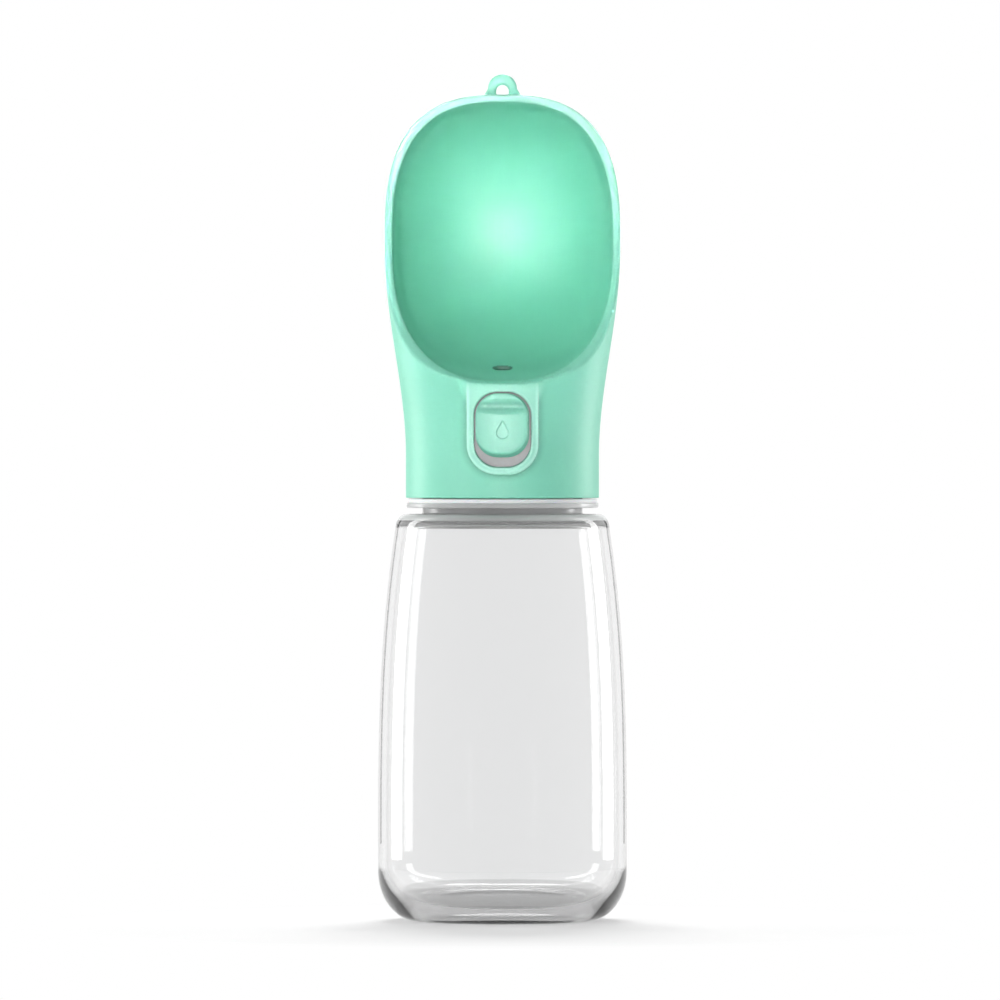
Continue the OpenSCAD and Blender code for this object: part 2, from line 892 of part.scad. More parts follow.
module lock_button() {
  back = plate_front - plate_gap;
  head_y0 = plate_front + 1.2 + 0.1;
  groove_r = 3;
  face_taper = 1.4;
  color(mint_light) {
    difference() {
      tablet(button_half_w, button_low, button_top, button_corner, face_y, back);
      rod_x(groove_r, face_y - groove_r + 1, button_top - groove_drop, button_half_w + 1);
      translate([-far, back, button_low])
        rotate([-atan(face_taper / (back - face_y)), 0, 0])
          translate([0, -far, -far])
            cube([2 * far, far + eps, far]);
      translate([0, 0, (button_low + button_top) / 2 - 2])
        drop_mark();
    }
    for (x = [-post_x, post_x]) {
      rod_y(post_r, x, post_z, back - eps, head_y0 + post_head_t);
      rod_y(post_head_r, x, post_z, head_y0, head_y0 + post_head_t);
    }
  }
}

// A plain water drop sunk in the button's face
module drop_mark() {
  drop_r = 1.7;
  sunk = 0.3;
  rod_y(drop_r, 0, 0, face_y - 1, face_y + sunk);
  translate([0, face_y + sunk, 0])
    rotate([90, 0, 0])
      linear_extrude(height = sunk + 1)
        polygon([[-drop_r * cos(30), drop_r * 0.5], [drop_r * cos(30), drop_r * 0.5], [0, drop_r * 2]]);
}

bottle();
flange_gasket();
neck_seal();
head_shell();
valve_deck();
deck_seal();
valve_cage();
valve_screws();
valve_plug();
valve_stem();
stem_clip();
valve_spring();
lever();
lever_pin();
plunger_guide();
guide_gasket();
guide_screws();
plunger_seal();
button_carriage();
button_spring();
lock_button();
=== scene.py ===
"""Looks for the dog travel water bottle: the clear bottle, the mint bowl head and its button.

Sizes of the object are in millimetres, as in the part's source, and become metres in the meshes.
The floor, the cards, the lamps and the camera are in metres.
"""

import math

import bpy
import numpy as np
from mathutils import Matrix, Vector


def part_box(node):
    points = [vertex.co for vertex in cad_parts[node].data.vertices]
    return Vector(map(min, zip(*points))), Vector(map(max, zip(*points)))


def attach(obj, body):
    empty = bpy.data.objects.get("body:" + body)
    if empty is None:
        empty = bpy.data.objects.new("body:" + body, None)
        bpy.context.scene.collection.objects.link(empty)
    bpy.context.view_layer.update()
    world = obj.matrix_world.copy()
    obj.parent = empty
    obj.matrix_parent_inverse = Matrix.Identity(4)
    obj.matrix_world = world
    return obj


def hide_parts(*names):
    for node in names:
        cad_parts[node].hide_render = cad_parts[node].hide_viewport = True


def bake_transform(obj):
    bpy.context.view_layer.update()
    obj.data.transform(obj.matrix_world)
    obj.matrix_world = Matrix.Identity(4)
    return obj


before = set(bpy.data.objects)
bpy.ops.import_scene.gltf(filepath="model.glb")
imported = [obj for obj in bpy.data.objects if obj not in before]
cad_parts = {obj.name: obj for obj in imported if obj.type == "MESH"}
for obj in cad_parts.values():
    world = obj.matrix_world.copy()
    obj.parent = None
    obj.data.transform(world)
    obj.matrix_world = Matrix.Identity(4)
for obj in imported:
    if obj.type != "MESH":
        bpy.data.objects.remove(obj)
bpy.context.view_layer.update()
MM = 0.001

# Sizes shared with the part's source
BOTTLE_R, BOTTLE_H, WALL = 35.3, 115.4, 2.3
SHOULDER_R, SHOULDER_ROUND, SHOULDER_IN = 30.4, 4.2, 3.0
BASE_FLAT_R, BASE_ROUND, PUNT_RISE = 24.5, 14.0, 1.2
BODY_LOW, BODY_CURVE = 25.0, 2.7
NECK_R, NECK_BORE = 22.7, 20.4
FLANGE_R, FLANGE_Z, NECK_FOOT, NECK_TOP = 27.25, 117.2, 118.6, 128.0
LEAD, DEPTH, NECK_RIDGE_Z, COLLAR_RIDGE_Z = 4.0, 1.5, 121.0, 123.0
COLLAR_Z, COLLAR_R, COLLAR_BORE, LAND_R = 120.0, 27.4, 24.7, 23.9
LEDGE_R, LEDGE_Z, ROOM_Z, ROOM_RISE = 22.6, 133.0, 150.9, 0.33
STRAIGHT_Z, WIDE_Z, HEAD_MID, HEAD_TOP = 132.0, 190.0, 194.0, 234.2
HALF_W, BOWL_RISE, BOWL_BACK = 33.35, 40.2, 31.0
INNER_HALF_W, INNER_MID, INNER_TOP, LIP_Z = 31.15, 192.0, 232.0, 153.0
DEEP_Y, DEEP_Z, RIM_LAND = 28.6, 195.0, 0.4
RIM = ((-29.8, 152.3), (-14.0, 158.0), (2.0, 185.0), (-9.0, 234.2))
RIM_TOP_Y, CROWN_Y = -9.0, -5.0
FRAME_R, FRAME_HALF_W, FRAME_LOW, FRAME_HIGH = 30.2, 10.05, 126.7, 169.0
FRAME_CORNER, FRAME_BACK = 8.5, -21.4
WIN_HALF_W, WIN_LOW, WIN_TOP, WIN_CORNER = 8.05, 128.7, 150.0, 6.8
LIP_BACK, POCKET_BACK, WINDOW_BACK = -27.3, -24.2, -25.1
POCKET_HALF_W, POCKET_LOW, POCKET_TOP = 8.95, 133.2, 151.3
PLUNGER_Z, COIL_ROOM_R, LAND_Y, GUIDE_HALF_W, GUIDE_HALF_H = 142.4, 5.1, -21.4, 10.4, 7.3
COIL_ROOM_Y, LAND_DEPTH = (-25.2, -20.4), 6
PORT_Y, SCREW_RING, SCREW_ANGLES, PILLAR_R = -4.0, 11.5, (90, 210, 330), 3.0
OUTLET_Y, OUTLET_W, OUTLET_D, OUTLET_BELOW, OUTLET_ABOVE = -9.3, 5.0, 3.4, 3, 12
LUG_R, LUG_HOLE_R, LUG_T, LUG_Z = 4.1, 1.8, 3.0, 235.9
FACE_Y, BUTTON_BACK, BUTTON_HALF_W = -31.5, -28.9, 7.6
BUTTON_LOW, BUTTON_TOP, BUTTON_CORNER = 131.4, 149.55, 6.35
POST_X, POST_Z, POST_R, POST_HEAD_R, POST_END, POST_HEAD_T = 5.9, 139.0, 1.1, 1.6, -26.8, 0.6

# Powers of the curves: 2 gives an ellipse, and more a squarer one. PLAN_POWER adds to 2 where
# the head is wide, and BOWL_SQUARE is taken off at the bowl's bottom. Above the head's middle,
# the front is FRONT_SHARE of half the width deep.
SIDE_POWER, BACK_POWER, PLAN_POWER = 2.7, 2.3, 0.2
INNER_TOP_POWER, INNER_LOW_POWER, BOWL_POWER, BOWL_SQUARE = 2.7, 2.45, 2.2, 0.6
FRONT_SHARE = 0.9

# The bottle: faces round it, its base, its edge radii, and where it is hazy or carries painted
# shade in its base
BOTTLE_SIDES, PUNT_MARGIN, FLOOR_EXTRA = 240, 6.5, 1.1
FLANGE_ROUND, LIP_ROUND, HAZE_DEPTH, PAINTED_SHADE_BELOW_Z = 0.35, 0.4, 0.4, 6.0

# The screw thread's ridges, in degrees round the axis and in millimetres
RIDGE_START, RIDGE_SPAN, RIDGE_STEP = 6, 168, 12
RIDGE_HALF, RIDGE_SLOPE, RIDGE_RUN, RIDGE_MIN = 1.05, 0.5, 3, 0.15

# The mesher: grid layers worked on at once, the gradient's step and least size, squared, and
# the most that a corner moves in one round
LAYERS, GRADIENT_STEP, LEAST_GRADIENT, MOST_MOVE = 16, 0.02, 0.2, 0.2

# Edge radii of the mouldings
FINE_EDGE, SMALL_EDGE, MOUTH_EDGE, RIM_EDGE, BOWL_EDGE, FRAME_EDGE = 0.1, 0.3, 0.35, 0.4, 0.5, 0.55
CORNER_R, FLARE_R, FLARE_Z, FLARE_RISE = 0.5, 2.2, 146.5, 6
LAND_EDGE, LUG_EDGE = 0.15, 0.6

# The thread's play, the lug's foot below the head's top and its hole below its centre
THREAD_PLAY, LUG_FOOT, LUG_HOLE_DOWN = 0.1, 2.4, 0.7

# Where the mint carries painted highlight and painted shade: highlight on the frame's band and
# lines and on the rim, shade in the corner, the slot and on the button's sides
FADE_Z, FRONT_Y, LINE_OUT, LINE_IN = 154.0, -26.5, 0.35, 0.25
BAND_SHARE, RIM_SHARE, RIM_TOP_SHARE, RIM_FADE_Z, RIM_FADE = 0.45, 0.12, 0.55, 205, 22
CORNER_REACH, CORNER_SHARE, CORNER_BACK, CORNER_POWER = 2.4, 0.5, -18, 1.5
SLOT_SHARE, SLOT_REACH = 0.9, 0.45
SIDE_SHARE, SIDE_START = 0.75, 0.55

# The button's face
LEAN_DEPTH, LEAN_RIGHT, LEAN_IN, LEAN_UP = 2.6, 0.45, 0.5, 1.35
CROWN_X, CROWN_UP, CROWN_MID, CROWN_MAX = 0.012, 0.004, 138.5, 0.9
GROOVE_R, GROOVE_OUT, GROOVE_DOWN = 3.0, 2.0, 3.6
DROP_R, DROP_TIP, DROP_FOOT, DROP_SINK, DROP_DOWN, DROP_HALF_ANGLE = 1.7, 3.4, 0.85, 0.45, 2, 30


# ---------------------------------------------------------------- meshes
def new_object(name, verts, faces, material, body, replaces=()):
    """A smooth mesh object from points in millimetres, riding on a body."""
    mesh = bpy.data.meshes.new(name)
    mesh.from_pydata([tuple(v) for v in np.asarray(verts) * MM], [], [tuple(f) for f in faces])
    mesh.validate()
    mesh.update()
    mesh.shade_smooth()
    mesh.materials.append(material)
    obj = bpy.data.objects.new(name, mesh)
    bpy.context.collection.objects.link(obj)
    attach(obj, body)
    if replaces:
        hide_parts(*replaces)
    return obj


def keep_values(obj, name, values):
    """Keeps one number for each point of a mesh, for its material to read."""
    layer = obj.data.attributes.new(name, "FLOAT", "POINT")
    layer.data.foreach_set("value", values.astype(np.float32))


def ease(t):
    u = np.clip(t, 0, 1)
    return u * u * (3 - 2 * u)


def arch(t, n):
    return np.maximum(0, 1 - np.clip(np.abs(t), 0, 1) ** n) ** (1 / n)


def signed_pow(v, p):
    return np.sign(v) * np.abs(v) ** p


def rim_points(count):
    t = np.linspace(0, 1, count)[:, None]
    a, b, c, d = (np.array(p) for p in RIM)
    return a * (1 - t) ** 3 + 3 * b * t * (1 - t) ** 2 + 3 * c * t * t * (1 - t) + d * t**3


RIM_LINE = rim_points(200)


def rim_y(z):
    return np.interp(z, RIM_LINE[:, 1], RIM_LINE[:, 0])


# Fields are below zero inside a solid and above zero outside it
def meet(a, b, r):
    """The common part of two solids, with a convex edge of radius r."""
    u, v = np.maximum(a + r, 0), np.maximum(b + r, 0)
    return np.minimum(-r, np.maximum(a, b)) + np.sqrt(u * u + v * v)


def cut(a, b, r=0.3):
    return meet(a, -b, r)


def join(a, b, r=0.3):
    return -meet(-a, -b, r)


def slab(v, low, high):
    return np.maximum(low - v, v - high)


def plate(x, z, half_w, low, high, corner):
    """A rectangle with rounded corners, seen from the front."""
    qx = np.abs(x) - (half_w - corner)
    qz = np.abs(z - (low + high) / 2) - ((high - low) / 2 - corner)
    out = np.sqrt(np.maximum(qx, 0) ** 2 + np.maximum(qz, 0) ** 2)
    return out + np.minimum(np.maximum(qx, qz), 0) - corner


def disc(u, v, r):
    return np.sqrt(u * u + v * v) - r


def ray(length, gauge):
    """Distance along the ray from a centre to where a gauge is 1."""
    g = np.maximum(gauge, 1e-3)
    return length - length / g


def outside_field(x, y, z):
    grow = ease((z - STRAIGHT_Z) / (WIDE_Z - STRAIGHT_Z))
    over = (z - HEAD_MID) / BOWL_RISE
    high = z > HEAD_MID
    w = np.where(high, HALF_W * arch(over, SIDE_POWER), COLLAR_R + (HALF_W - COLLAR_R) * grow)
    w = np.maximum(w, 0.05)
    yc = CROWN_Y * grow
    top_y = RIM_TOP_Y + 1
    reach = np.where(
        high,
        top_y + (BOWL_BACK - top_y) * arch(over, BACK_POWER),
        COLLAR_R + (BOWL_BACK - COLLAR_R) * grow,
    )
    back = np.maximum(reach - yc, 0.05)
    front = np.maximum(np.where(high, w * FRONT_SHARE, w + yc), 0.05)
    n = 2 + PLAN_POWER * grow
    dy = y - yc
    depth = np.where(dy > 0, back, front)
    gauge = ((np.abs(x) / w) ** n + (np.abs(dy) / depth) ** n) ** (1 / n)
    side = ray(np.sqrt(x * x + dy * dy), gauge)
    return np.maximum(np.where(z > HEAD_TOP, np.maximum(side, z - HEAD_TOP), side), COLLAR_Z - z)


def edge_table():
    """The bowl's inner edge about its deepest point: angle, radius, rim depth and curve."""
    a = np.linspace(0, 2 * math.pi, 1441)
    up = np.sin(a) > 0
    n = np.where(up, INNER_TOP_POWER, INNER_LOW_POWER)
    h = np.where(up, INNER_TOP - INNER_MID, INNER_MID - LIP_Z)
    ex = INNER_HALF_W * signed_pow(np.cos(a), 2 / n)
    ez = INNER_MID + h * signed_pow(np.sin(a), 2 / n)
    down = np.maximum(0, -np.sin(a))
    theta = np.unwrap(np.arctan2(ez - DEEP_Z, ex))
    return theta, np.hypot(ex, ez - DEEP_Z), rim_y(ez) + RIM_LAND, BOWL_SQUARE * down * down


EDGE_A, EDGE_R, EDGE_Y, EDGE_C = edge_table()


def bowl_field(x, y, z):
    theta = np.mod(np.arctan2(z - DEEP_Z, x) - EDGE_A[0], 2 * math.pi) + EDGE_A[0]
    edge_r = np.interp(theta, EDGE_A, EDGE_R)
    y0 = np.interp(theta, EDGE_A, EDGE_Y)
    r = np.hypot(x, z - DEEP_Z)
    c = BOWL_POWER - np.interp(theta, EDGE_A, EDGE_C) * np.minimum(r / edge_r, 1) ** 2
    inward = np.maximum(y - y0, 0)
    gauge = ((r / edge_r) ** c + (inward / (DEEP_Y - y0)) ** c) ** (1 / c)
    return ray(np.hypot(r, inward), gauge)


def trim_field(x, y, z):
    """What lies in front of the rim."""
    return np.maximum(y - rim_y(z), RIM[0][1] - z)


def ridge_height(angle, z, low, count):
    """Height, from 0 to 1, of a screw thread's ridges at an angle in degrees."""
    height = np.zeros_like(z + angle)
    for k in range(count):
        turn = np.mod(angle - 180 * k - RIDGE_START, 360)
        i = turn / RIDGE_STEP
        to_end = np.minimum(i, RIDGE_SPAN / RIDGE_STEP - i)
        lift = np.where(turn <= RIDGE_SPAN, np.minimum(1, to_end / RIDGE_RUN + RIDGE_MIN), 0)
        centre = low + LEAD * k / 2 + LEAD * turn / 360
        flank = np.clip((RIDGE_HALF - np.abs(z - centre)) / RIDGE_SLOPE, 0, 1)
        height = np.maximum(height, flank * lift)
    return height


def unit(field, x, y, z, h=0.05):
    """A field scaled so that it grows by one for each millimetre."""
    gx = field(x + h, y, z) - field(x - h, y, z)
    gy = field(x, y + h, z) - field(x, y - h, z)
    gz = field(x, y, z + h) - field(x, y, z - h)
    slope = np.sqrt(gx * gx + gy * gy + gz * gz) / (2 * h)
    return field(x, y, z) / np.maximum(slope, 0.5)


def frame_outline(x, z):
    return plate(x, z, FRAME_HALF_W, FRAME_LOW, FRAME_HIGH, FRAME_CORNER)


def window_outline(x, z):
    return plate(x, z, WIN_HALF_W, WIN_LOW, WIN_TOP, WIN_CORNER)


def slot_outline(x, y):
    return disc(np.maximum(np.abs(x) - (OUTLET_W - OUTLET_D) / 2, 0), y - OUTLET_Y, OUTLET_D / 2)


def head_field(x, y, z, fine=False):
    """The mint head; a fine field is true to distance, and slower."""
    def of(field):
        return unit(field, x, y, z) if fine else field(x, y, z)

    axis_r = np.hypot(x, y)
    boss = np.maximum(frame_outline(x, z), y - FRAME_BACK)
    boss = meet(axis_r - FRAME_R, boss, FRAME_EDGE)
    solid = join(of(outside_field), boss, CORNER_R + FLARE_R * ease((z - FLARE_Z) / FLARE_RISE))

    # Collar bore with its thread, the deck's land and the water room
    angle = np.degrees(np.arctan2(y, x))
    thread = ridge_height(angle, z, COLLAR_RIDGE_Z, 2)
    bore = np.maximum(axis_r - COLLAR_BORE + (DEPTH - THREAD_PLAY) * thread, z - NECK_TOP + 0.2)
    solid = cut(solid, bore, MOUTH_EDGE)
    solid = cut(solid, np.maximum(axis_r - LAND_R, z - LEDGE_Z), LAND_EDGE)
    ceiling = (z - ROOM_Z - ROOM_RISE * (y + LEDGE_R)) * 0.93
    room = np.maximum(np.maximum(axis_r - LEDGE_R, ceiling), LEDGE_Z - 1 - z)
    for a in SCREW_ANGLES:
        px = SCREW_RING * math.cos(math.radians(a))
        py = PORT_Y + SCREW_RING * math.sin(math.radians(a))
        pillar = np.maximum(disc(x - px, y - py, PILLAR_R), LEDGE_Z - z)
        room = cut(room, pillar, SMALL_EDGE)
    solid = cut(solid, room, SMALL_EDGE)

    # Hanging lug
    base_half = LUG_R + 1 - np.clip((z - HEAD_TOP) / (LUG_Z - HEAD_TOP), 0, 1)
    foot = np.maximum(np.maximum(np.abs(x) - base_half, HEAD_TOP - LUG_FOOT - z), z - LUG_Z)
    loop = np.minimum(disc(x, z - LUG_Z, LUG_R), foot)
    hole_z = LUG_Z - LUG_HOLE_DOWN
    gap = np.maximum(np.abs(x) - LUG_HOLE_R, slab(z, HEAD_TOP + 0.1, hole_z))
    loop = cut(loop, np.minimum(disc(x, z - hole_z, LUG_HOLE_R), gap), SMALL_EDGE)
    lug = meet(loop, slab(y, CROWN_Y - LUG_T / 2, CROWN_Y + LUG_T / 2), LUG_EDGE)
    solid = join(solid, lug, CORNER_R)

    # Rim and bowl
    solid = cut(solid, of(trim_field), RIM_EDGE)
    solid = cut(solid, of(bowl_field), BOWL_EDGE)

    # Button opening, pocket, coil room and guide land
    window = np.maximum(window_outline(x, z), y - WINDOW_BACK)
    solid = cut(solid, window, MOUTH_EDGE)
    pocket = np.maximum(np.abs(x) - POCKET_HALF_W, slab(z, POCKET_LOW, POCKET_TOP))
    solid = cut(solid, np.maximum(pocket, slab(y, LIP_BACK, POCKET_BACK)), FINE_EDGE)
    coil_room = np.maximum(disc(x, z - PLUNGER_Z, COIL_ROOM_R), slab(y, *COIL_ROOM_Y))
    solid = cut(solid, coil_room, FINE_EDGE)
    land = np.maximum(np.abs(x) - GUIDE_HALF_W, np.abs(z - PLUNGER_Z) - GUIDE_HALF_H)
    solid = cut(solid, np.maximum(land, slab(y, LAND_Y, LAND_Y + LAND_DEPTH)), FINE_EDGE)

    # Outlet slot
    slot = np.maximum(slot_outline(x, y), slab(z, LIP_Z - OUTLET_BELOW, LIP_Z + OUTLET_ABOVE))
    return cut(solid, slot, MOUTH_EDGE)


def painted_highlight_values(x, y, z):
    """Painted highlight on the head's mint: the button frame's band and edges, and the rim, more
    towards the rim's top.
    """
    outline, window = frame_outline(x, z), window_outline(x, z)
    front = ease((FRONT_Y - y) / 0.6) * ease((FADE_Z - z) / 4)
    band = ease((LINE_OUT - outline) / 0.3) * ease((window + 0.3) / 0.3)
    lines = np.maximum(
        1 - np.abs(outline + LINE_OUT) / 0.5,
        1 - np.abs(window - LINE_IN) / 0.45,
    )
    painted_frame_highlight = front * band * (BAND_SHARE + (1 - BAND_SHARE) * np.clip(lines, 0, 1))
    rim = ease((1.0 - np.abs(y - rim_y(z))) / 0.7) * (z > RIM[0][1] + 1)
    share = RIM_SHARE + RIM_TOP_SHARE * ease((z - RIM_FADE_Z) / RIM_FADE)
    return np.maximum(painted_frame_highlight, rim * share)


def painted_shade_values(x, y, z):
    """Painted shade on the head's mint: in the corner round the button frame and inside the
    outlet.
    """
    away = frame_outline(x, z)
    near = np.clip(1 - away / CORNER_REACH, 0, 1) ** CORNER_POWER
    corner = np.where((away > 0) & (y < CORNER_BACK), near, 0) * ease((FADE_Z - 3 - z) / 5)
    in_slot = (slot_outline(x, y) < SLOT_REACH) & (z > ROOM_Z) & (z < LIP_Z + OUTLET_ABOVE)
    return np.maximum(CORNER_SHARE * corner, SLOT_SHARE * in_slot)


def button_field(x, y, z, fine=False):
    """The thumb button; its field is close to true distance, so fine changes nothing."""
    # The sides lean in towards the face, most at the bottom and on the right
    lean = np.clip(BUTTON_BACK - y, 0, LEAN_DEPTH) / LEAN_DEPTH
    side = x + LEAN_RIGHT * lean
    half_w = BUTTON_HALF_W - LEAN_IN * lean
    outline = plate(side, z, half_w, BUTTON_LOW, BUTTON_TOP, BUTTON_CORNER)
    raised = plate(side, z - LEAN_UP * lean, half_w, BUTTON_LOW, BUTTON_TOP, BUTTON_CORNER)
    body = np.maximum(outline, raised)
    # The face is crowned a little, with a thumb groove near its top
    crown = CROWN_X * x * x + CROWN_UP * (z - CROWN_MID) ** 2
    face = slab(y, FACE_Y + np.minimum(crown, CROWN_MAX), BUTTON_BACK)
    body = meet(body, face, MOUTH_EDGE)
    groove = disc(y - (FACE_Y - GROOVE_OUT), z - (BUTTON_TOP - GROOVE_DOWN), GROOVE_R)
    body = cut(body, groove, SMALL_EDGE)
    # A plain water drop sunk in the face
    dz = z - ((BUTTON_LOW + BUTTON_TOP) / 2 - DROP_DOWN)
    slope = math.radians(DROP_HALF_ANGLE)
    wedge = np.abs(x) * math.cos(slope) + (dz - DROP_TIP) * 0.5
    mark = np.minimum(disc(x, dz, DROP_R), np.maximum(wedge, DROP_FOOT - dz))
    body = cut(body, np.maximum(mark, y - FACE_Y - DROP_SINK), FINE_EDGE)
    for px in (-POST_X, POST_X):
        away = disc(x - px, z - POST_Z, 0)
        body = np.minimum(body, np.maximum(away - POST_R, slab(y, BUTTON_BACK - 0.2, POST_END)))
        head = np.maximum(away - POST_HEAD_R, slab(y, POST_END - POST_HEAD_T, POST_END))
        body = np.minimum(body, head)
    return body


def spaced(*parts):
    """Grid lines from (start, stop, step) runs that follow each other."""
    lines = [np.arange(a, b - s / 2, s) for a, b, s in parts]
    return np.concatenate(lines + [[parts[-1][1]]])


def surface_of(field, axes, rounds=4, reach=0.4):
    """Quads on the zero surface of a field, with their corners moved onto it.

    No corner moves further than reach from where its cell puts it.
    """
    shape = tuple(len(a) for a in axes)
    values = np.empty(shape, np.float32)
    for k in range(0, shape[2], LAYERS):
        grid = np.meshgrid(axes[0], axes[1], axes[2][k : k + LAYERS], indexing="ij")
        values[:, :, k : k + LAYERS] = field(*grid)
    inside = values < 0
    count = np.zeros([n - 1 for n in shape], np.uint8)
    corners = [(i, j, k) for i in (0, 1) for j in (0, 1) for k in (0, 1)]
    for i, j, k in corners:
        count += inside[i : shape[0] - 1 + i, j : shape[1] - 1 + j, k : shape[2] - 1 + k]
    active = (count > 0) & (count < 8)
    cells = np.argwhere(active)
    index = np.full(count.shape, -1, np.int64)
    index[active] = np.arange(len(cells))
    total, hits = np.zeros((len(cells), 3)), np.zeros(len(cells))
    for axis in range(3):
        step = np.eye(3, dtype=int)[axis]
        for corner in (c for c in corners if c[axis] == 0):
            a = cells + corner
            b = a + step
            va, vb = values[tuple(a.T)].astype(float), values[tuple(b.T)].astype(float)
            crossing = (va < 0) != (vb < 0)
            t = np.where(crossing, va / np.where(crossing, va - vb, 1), 0)
            pa = np.stack([axes[d][a[:, d]] for d in range(3)], 1)
            pb = np.stack([axes[d][b[:, d]] for d in range(3)], 1)
            total += np.where(crossing[:, None], pa + (pb - pa) * t[:, None], 0)
            hits += crossing
    verts = total / hits[:, None]
    faces = []
    for axis in range(3):
        u, v = (axis + 1) % 3, (axis + 2) % 3
        low = [slice(None)] * 3
        high = [slice(None)] * 3
        low[axis], high[axis] = slice(None, -1), slice(1, None)
        first = inside[tuple(low)]
        change = np.argwhere(first != inside[tuple(high)])
        place, most = change[:, [u, v]], np.array(shape)[[u, v]] - 1
        keep = np.all((place > 0) & (place < most), axis=1)
        change = change[keep]
        ring = []
        for du, dv in ((0, 0), (-1, 0), (-1, -1), (0, -1)):
            cell = change.copy()
            cell[:, u] += du
            cell[:, v] += dv
            ring.append(index[tuple(cell.T)])
        quads = np.stack(ring, 1)
        solid_first = first[tuple(change.T)]
        quads[~solid_first] = quads[~solid_first][:, ::-1]
        faces.append(quads)
    start = verts.copy()
    h = GRADIENT_STEP
    for _ in range(rounds):
        x, y, z = verts.T
        f = field(x, y, z, fine=True)
        grad = np.stack(
            [
                field(x + h, y, z, fine=True) - field(x - h, y, z, fine=True),
                field(x, y + h, z, fine=True) - field(x, y - h, z, fine=True),
                field(x, y, z + h, fine=True) - field(x, y, z - h, fine=True),
            ],
            1,
        ) / (2 * h)
        size = np.maximum(np.sum(grad * grad, 1), LEAST_GRADIENT)
        move = grad * (f / size)[:, None]
        length = np.linalg.norm(move, axis=1)
        move *= np.minimum(1, MOST_MOVE / np.maximum(length, 1e-9))[:, None]
        verts = verts - move
        drift = verts - start
        far = np.linalg.norm(drift, axis=1)
        verts = start + drift * np.minimum(1, reach / np.maximum(far, 1e-9))[:, None]
    return verts, np.concatenate(faces)


# ---------------------------------------------------------------- materials
def linear(r, g, b):
    """A colour given in display values from 0 to 255."""
    def one(c):
        c /= 255
        return c / 12.92 if c <= 0.04045 else ((c + 0.055) / 1.055) ** 2.4

    return (one(r), one(g), one(b), 1.0)


def node_material(name):
    material = bpy.data.materials.new(name)
    material.use_nodes = True
    tree = material.node_tree
    return material, tree, tree.nodes["Principled BSDF"]


def noise(tree, scale, detail=3.0, stretch=(1, 1, 1)):
    coords = tree.nodes.new("ShaderNodeTexCoord")
    mapping = tree.nodes.new("ShaderNodeMapping")
    mapping.inputs["Scale"].default_value = stretch
    tex = tree.nodes.new("ShaderNodeTexNoise")
    tex.inputs["Scale"].default_value = scale
    tex.inputs["Detail"].default_value = detail
    tree.links.new(coords.outputs["Object"], mapping.inputs["Vector"])
    tree.links.new(mapping.outputs["Vector"], tex.inputs["Vector"])
    return tex.outputs["Fac"]


def spread(tree, value, low, high):
    node = tree.nodes.new("ShaderNodeMapRange")
    node.inputs["From Min"].default_value = 0.3
    node.inputs["From Max"].default_value = 0.7
    node.inputs["To Min"].default_value = low
    node.inputs["To Max"].default_value = high
    tree.links.new(value, node.inputs["Value"])
    return node.outputs["Result"]


def add_bump(tree, shader, value, strength, distance):
    bump = tree.nodes.new("ShaderNodeBump")
    bump.inputs["Strength"].default_value = strength
    bump.inputs["Distance"].default_value = distance
    tree.links.new(value, bump.inputs["Height"])
    tree.links.new(bump.outputs["Normal"], shader.inputs["Normal"])


def colour_between(tree, shader, value, a, b):
    ramp = tree.nodes.new("ShaderNodeValToRGB")
    ramp.color_ramp.elements[0].position = 0.35
    ramp.color_ramp.elements[0].color = a
    ramp.color_ramp.elements[1].position = 0.65
    ramp.color_ramp.elements[1].color = b
    tree.links.new(value, ramp.inputs["Fac"])
    tree.links.new(ramp.outputs["Color"], shader.inputs["Base Color"])


def mix_by_value(tree, shader, name, colour):
    """A second colour where a value kept on the mesh's points is high."""
    base = shader.inputs["Base Color"].links[0].from_socket
    value = tree.nodes.new("ShaderNodeAttribute")
    value.attribute_name = name
    mix = tree.nodes.new("ShaderNodeMix")
    mix.data_type = "RGBA"
    tree.links.new(value.outputs["Fac"], mix.inputs["Factor"])
    tree.links.new(base, mix.inputs[6])
    mix.inputs[7].default_value = colour
    tree.links.new(mix.outputs[2], shader.inputs["Base Color"])


def plastic(name, dark, light, rough, grain=900.0, strength=0.06, zones=()):
    """Moulded plastic with a faint fine grain."""
    material, tree, shader = node_material(name)
    colour_between(tree, shader, noise(tree, 18.0, 2.0), dark, light)
    for zone, colour in zones:
        mix_by_value(tree, shader, zone, colour)
    wear = spread(tree, noise(tree, 60.0), rough - 0.03, rough + 0.03)
    tree.links.new(wear, shader.inputs["Roughness"])
    add_bump(tree, shader, noise(tree, grain, 2.0), strength, 0.0001)
    shader.inputs["IOR"].default_value = 1.5
    shader.inputs["Specular IOR Level"].default_value = 0.8
    return material


def metal(name):
    material, tree, shader = node_material(name)
    brushed = noise(tree, 400.0, 4.0, (1, 1, 6))
    colour_between(tree, shader, brushed, linear(178, 180, 184), linear(205, 207, 210))
    tree.links.new(spread(tree, brushed, 0.24, 0.36), shader.inputs["Roughness"])
    add_bump(tree, shader, brushed, 0.08, 0.0001)
    shader.inputs["Metallic"].default_value = 1.0
    return material


def silicone(name, dark, light):
    material, tree, shader = node_material(name)
    colour_between(tree, shader, noise(tree, 40.0), dark, light)
    tree.links.new(spread(tree, noise(tree, 150.0), 0.42, 0.55), shader.inputs["Roughness"])
    add_bump(tree, shader, noise(tree, 1200.0, 2.0), 0.1, 0.0001)
    shader.inputs["Subsurface Weight"].default_value = 0.25
    shader.inputs["Subsurface Scale"].default_value = 0.002
    return material


